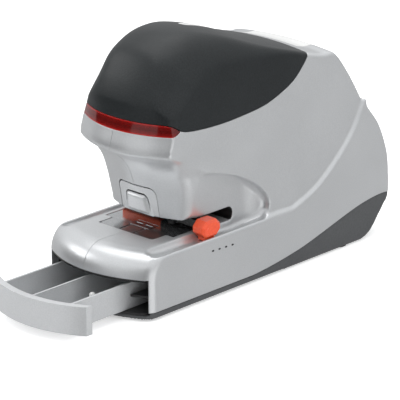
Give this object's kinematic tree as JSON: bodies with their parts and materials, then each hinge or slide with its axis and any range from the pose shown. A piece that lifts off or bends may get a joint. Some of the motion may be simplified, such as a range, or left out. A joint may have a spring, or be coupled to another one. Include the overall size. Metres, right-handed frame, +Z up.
{
  "type": "electric stapler",
  "caption": "Desktop electric stapler with domed cover, open paper throat, sliding depth stop, pull-out staple magazine and a staple drawer under the platform.",
  "frame": {"origin": "centre of the footprint with the drawer open, on the surface the feet stand on", "axes": "-Y is the front where paper goes in, +X the right-hand side with the depth-stop knob, +Z up"},
  "size_m": [0.088, 0.2885, 0.1637],
  "materials": {
    "silver_paint": "satin silver paint on moulded plastic",
    "drawer_silver": "satin silver paint on moulded plastic",
    "dark_cover": "fine-grained dark grey plastic",
    "pale_plastic": "smooth pale grey plastic",
    "red_lens": "tinted clear red plastic",
    "dark_base": "fine-grained dark grey plastic",
    "black_plastic": "plain black plastic",
    "rubber": "soft black rubber",
    "polished_plate": "polished plate",
    "hard_steel": "ground steel",
    "cast_support": "sintered iron",
    "orange_clear": "clear orange-red plastic",
    "magazine_silver": "satin silver paint on moulded plastic",
    "magazine_steel": "plated sheet steel",
    "pusher_plastic": "slippery black plastic",
    "spring_steel": "spring wire",
    "frame_steel": "zinc-plated sheet steel",
    "screw_steel": "plated steel",
    "gear_plastic": "natural acetal",
    "bearing_bronze": "sintered bronze",
    "motor_can": "rolled steel can",
    "circuit_green": "lacquered board",
    "circuit_parts": "electronic parts",
    "led_clear": "clear red diode"
  },
  "bodies": {
    "chassis": {"left_housing": "silver_paint", "right_housing": "silver_paint", "top_cover": "dark_cover", "rear_top_panel": "pale_plastic", "cover_inlay": "pale_plastic", "indicator_lens": "red_lens", "base_tray": "dark_base", "drawer_bay": "black_plastic", "trigger_switch": "black_plastic", "power_inlet": "black_plastic", "blade_guide": "black_plastic", "rubber_feet": "rubber", "motor_ring": "rubber", "anvil_plate": "polished_plate", "anvil": "hard_steel", "anvil_support": "cast_support", "left_side_plate": "frame_steel", "right_side_plate": "frame_steel", "frame_spacers": "frame_steel", "base_screws": "screw_steel", "frame_screws": "screw_steel", "idler_axle": "screw_steel", "arm_pin": "screw_steel", "trigger_pin": "screw_steel", "shaft_bushes": "bearing_bronze", "motor": "motor_can", "circuit_board": "circuit_green", "led_board": "circuit_green", "board_parts": "circuit_parts", "board_posts": "circuit_parts", "indicator_leds": "led_clear"},
    "drawer": {"drawer_tray": "drawer_silver", "drawer_front": "drawer_silver", "strip_peg": "pale_plastic"},
    "depth_stop": {"depth_stop_bar": "orange_clear", "depth_stop_knob": "orange_clear"},
    "magazine": {"magazine_front": "magazine_silver", "magazine_channel": "magazine_steel", "magazine_core": "magazine_steel", "staple_strip": "hard_steel", "pusher_rod": "magazine_steel", "pusher_spring": "spring_steel"},
    "release": {"release_button": "magazine_silver"},
    "pusher": {"staple_pusher": "pusher_plastic"},
    "trigger": {"trigger_lever": "gear_plastic"},
    "driver": {"driver_blade": "hard_steel"},
    "arm": {"drive_arm": "frame_steel", "roller_pin": "screw_steel"},
    "roller": {"cam_roller": "hard_steel"},
    "camshaft": {"cam_gear": "gear_plastic", "cam_shaft": "screw_steel", "drive_cam": "hard_steel"},
    "idler": {"idler_gear": "gear_plastic"},
    "rotor": {"motor_shaft": "screw_steel", "motor_pinion": "bearing_bronze"}
  },
  "joints": [
    {"name": "drawer_slide", "type": "slide", "parent": "chassis", "child": "drawer", "axis": [0, 1, 0], "range_m": [0, 0.0495]},
    {"name": "depth_stop_slide", "type": "slide", "parent": "chassis", "child": "depth_stop", "axis": [0, 1, 0], "range_m": [0, 0.022]},
    {"name": "magazine_slide", "type": "slide", "parent": "chassis", "child": "magazine", "axis": [0, 1, 0], "range_m": [-0.06, 0]},
    {"name": "release_press", "type": "slide", "parent": "magazine", "child": "release", "axis": [0, 1, 0], "range_m": [0, 0.0012], "stiffness_N_per_m": 400, "springref_m": -0.0003},
    {"name": "pusher_slide", "type": "slide", "parent": "magazine", "child": "pusher", "axis": [0, 1, 0], "range_m": [0, 0.022], "stiffness_N_per_m": 60, "springref_m": -0.02, "deforming": ["pusher_spring"]},
    {"name": "trigger_swing", "type": "hinge", "parent": "chassis", "child": "trigger", "pos_m": [0.016, -0.03075, 0.06], "axis": [1, 0, 0], "range_deg": [0, 12], "stiffness_Nm_per_rad": 0.01, "springref_deg": -5.73},
    {"name": "cam_turn", "type": "hinge", "parent": "chassis", "child": "camshaft", "pos_m": [0, 0.05125, 0.074], "axis": [1, 0, 0], "range_deg": [0, 150]},
    {"name": "idler_turn", "type": "hinge", "parent": "chassis", "child": "idler", "pos_m": [0, 0.07766, 0.05085], "axis": [1, 0, 0], "range_deg": [-600, 0]},
    {"name": "motor_turn", "type": "hinge", "parent": "chassis", "child": "rotor", "pos_m": [0, 0.10425, 0.06], "axis": [1, 0, 0], "range_deg": [0, 2400]},
    {"name": "arm_swing", "type": "hinge", "parent": "chassis", "child": "arm", "pos_m": [0, 0.01725, 0.088], "axis": [1, 0, 0], "range_deg": [0, 9.72]},
    {"name": "driver_slide", "type": "slide", "parent": "chassis", "child": "driver", "axis": [0, 0, -1], "range_m": [0, 0.00951]},
    {"name": "roller_spin", "type": "hinge", "parent": "arm", "child": "roller", "pos_m": [0, 0.05125, 0.0873], "axis": [1, 0, 0], "continuous": true}
  ],
  "couplings": [
    {"joint": "idler_turn", "follows": "cam_turn", "ratio": -4},
    {"joint": "motor_turn", "follows": "cam_turn", "ratio": 16},
    {"joint": "arm_swing", "follows": "cam_turn", "ratio": 0.064799},
    {"joint": "driver_slide", "follows": "cam_turn", "m_per_rad": 0.0036287}
  ]
}
